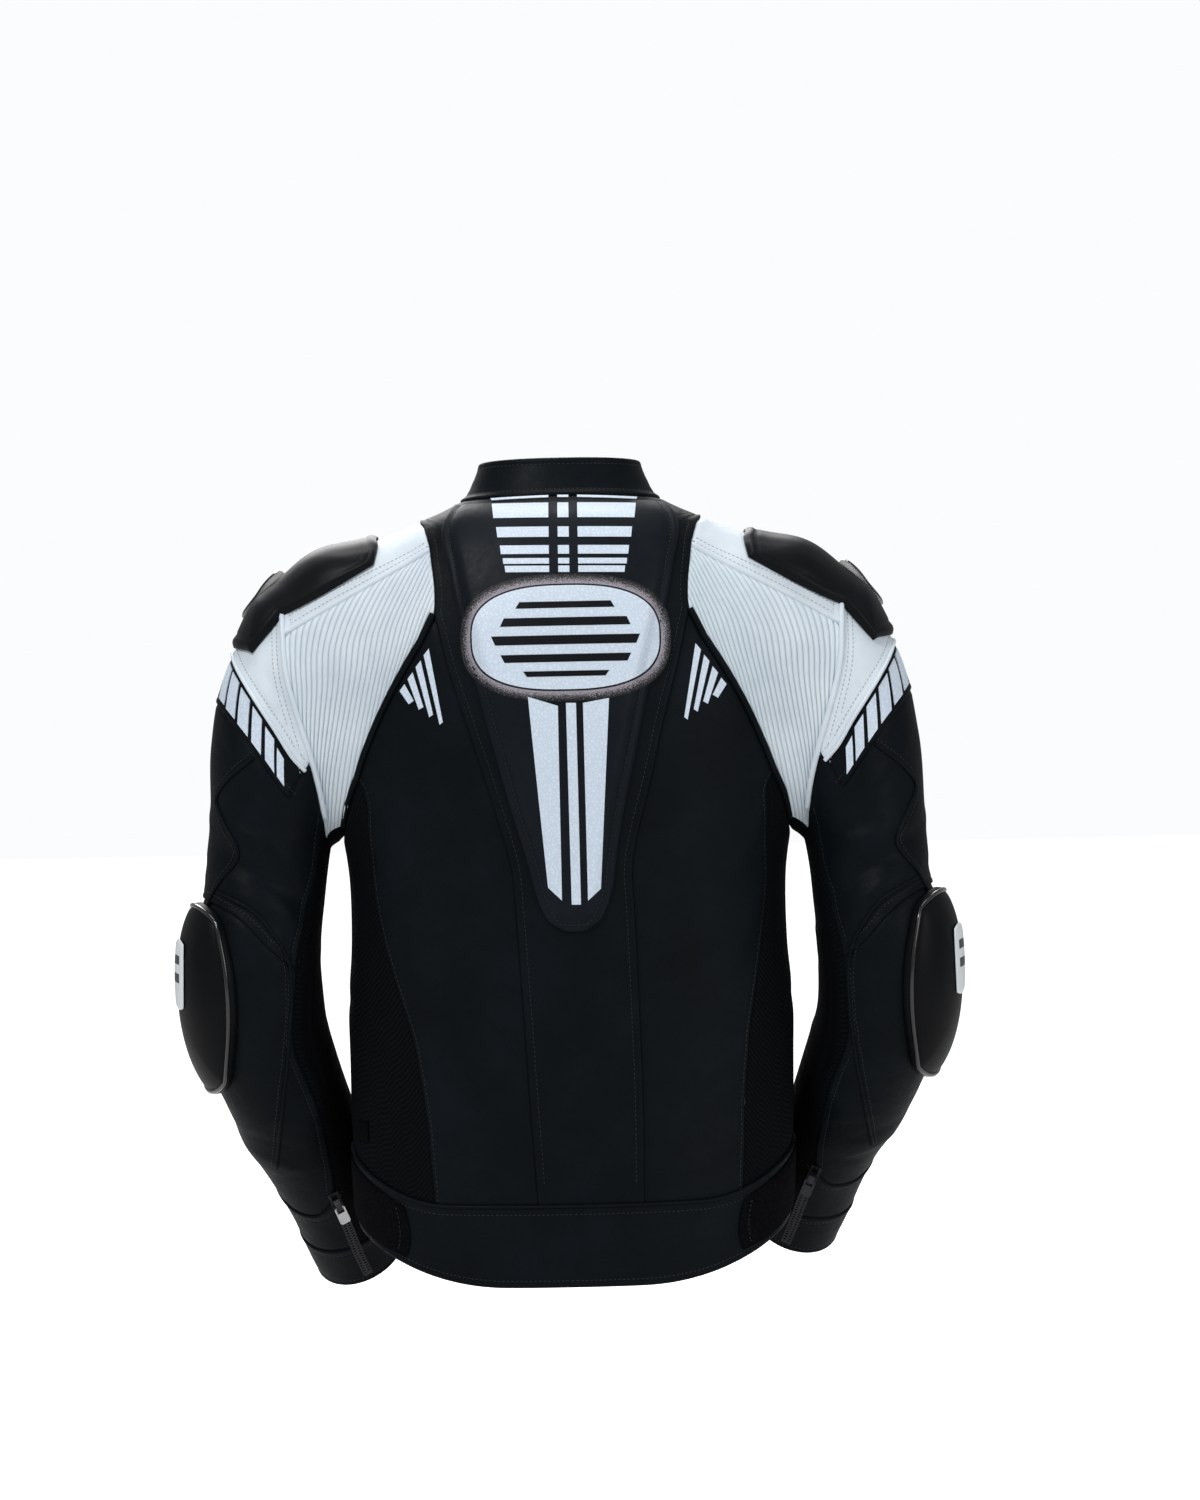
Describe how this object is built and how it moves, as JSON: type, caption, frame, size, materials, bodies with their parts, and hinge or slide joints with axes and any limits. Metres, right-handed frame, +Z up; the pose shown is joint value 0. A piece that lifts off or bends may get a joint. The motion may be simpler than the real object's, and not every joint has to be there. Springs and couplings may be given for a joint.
{
  "type": "motorcycle jacket",
  "caption": "Leather racing jacket in its worn pose, hollow and open at neck, hem and cuffs, with a padded hump, ribbed stretch panels, shoulder and elbow cups and zips.",
  "frame": {"origin": "middle of the neck opening at the height where collar and shoulders meet at the back: the place from which the wearer's shoulders hold the jacket", "axes": "+Z up, +Y to the wearer's back, +X to the wearer's left"},
  "size_m": [0.6286, 0.2834, 0.6665],
  "materials": {
    "black_leather": "lightly grained, semi-gloss",
    "padded_leather": "lightly grained over padding",
    "white_leather": "lightly grained, semi-gloss",
    "stretch_fabric": "matt woven stretch",
    "loop_fabric": "matt loop pile",
    "moulded_cup": "leather over a moulded cup",
    "gloss_plate": "polished",
    "badge": "polished",
    "zip_metal": "satin"
  },
  "bodies": {
    "jacket": {"collar": "black_leather", "back_panel": "black_leather", "back_side_left": "black_leather", "back_side_right": "black_leather", "front_left": "black_leather", "front_right": "black_leather", "waistband_back": "black_leather", "waistband_front_left": "black_leather", "waistband_front_right": "black_leather", "side_tag_left": "black_leather", "side_panel_left": "stretch_fabric", "side_panel_right": "stretch_fabric", "front_zip": "stretch_fabric", "hump_panel": "padded_leather", "waist_tab_left": "loop_fabric", "waist_tab_right": "loop_fabric", "front_zip_slider": "zip_metal", "shoulder_panel_left": "white_leather", "stretch_panel_left": "white_leather", "sleeve_cap_left": "white_leather", "sleeve_band_left": "black_leather", "upper_sleeve_left": "black_leather", "elbow_panel_left": "black_leather", "wrist_panel_left": "black_leather", "front_sleeve_left": "black_leather", "cuff_left": "black_leather", "under_sleeve_left": "stretch_fabric", "shoulder_cup_left": "moulded_cup", "shoulder_plate_left": "gloss_plate", "elbow_cup_left": "gloss_plate", "elbow_badge_left": "badge", "cuff_zip_left": "stretch_fabric", "cuff_zip_left_slider": "zip_metal", "shoulder_panel_right": "white_leather", "stretch_panel_right": "white_leather", "sleeve_cap_right": "white_leather", "sleeve_band_right": "black_leather", "upper_sleeve_right": "black_leather", "elbow_panel_right": "black_leather", "wrist_panel_right": "black_leather", "front_sleeve_right": "black_leather", "cuff_right": "black_leather", "under_sleeve_right": "stretch_fabric", "shoulder_cup_right": "moulded_cup", "shoulder_plate_right": "gloss_plate", "elbow_cup_right": "gloss_plate", "elbow_badge_right": "badge", "cuff_zip_right": "stretch_fabric", "cuff_zip_right_slider": "zip_metal"},
    "front_zip_pull": {"front_zip_pull": "zip_metal"},
    "cuff_zip_left_pull": {"cuff_zip_left_pull": "zip_metal"},
    "cuff_zip_right_pull": {"cuff_zip_right_pull": "zip_metal"}
  },
  "joints": [
    {"name": "front_zip_pull_hinge", "type": "hinge", "parent": "jacket", "child": "front_zip_pull", "pos_m": [0, -0.06136, -0.01697], "axis": [-1, 0, 0], "range_deg": [0, 130]},
    {"name": "cuff_zip_left_pull_hinge", "type": "hinge", "parent": "jacket", "child": "cuff_zip_left_pull", "pos_m": [0.19027, -0.02147, -0.56428], "axis": [0.9057, 0.1158, -0.4078], "range_deg": [0, 130]},
    {"name": "cuff_zip_right_pull_hinge", "type": "hinge", "parent": "jacket", "child": "cuff_zip_right_pull", "pos_m": [-0.19027, -0.02147, -0.55003], "axis": [0.9057, -0.1158, 0.4078], "range_deg": [0, 130]}
  ]
}
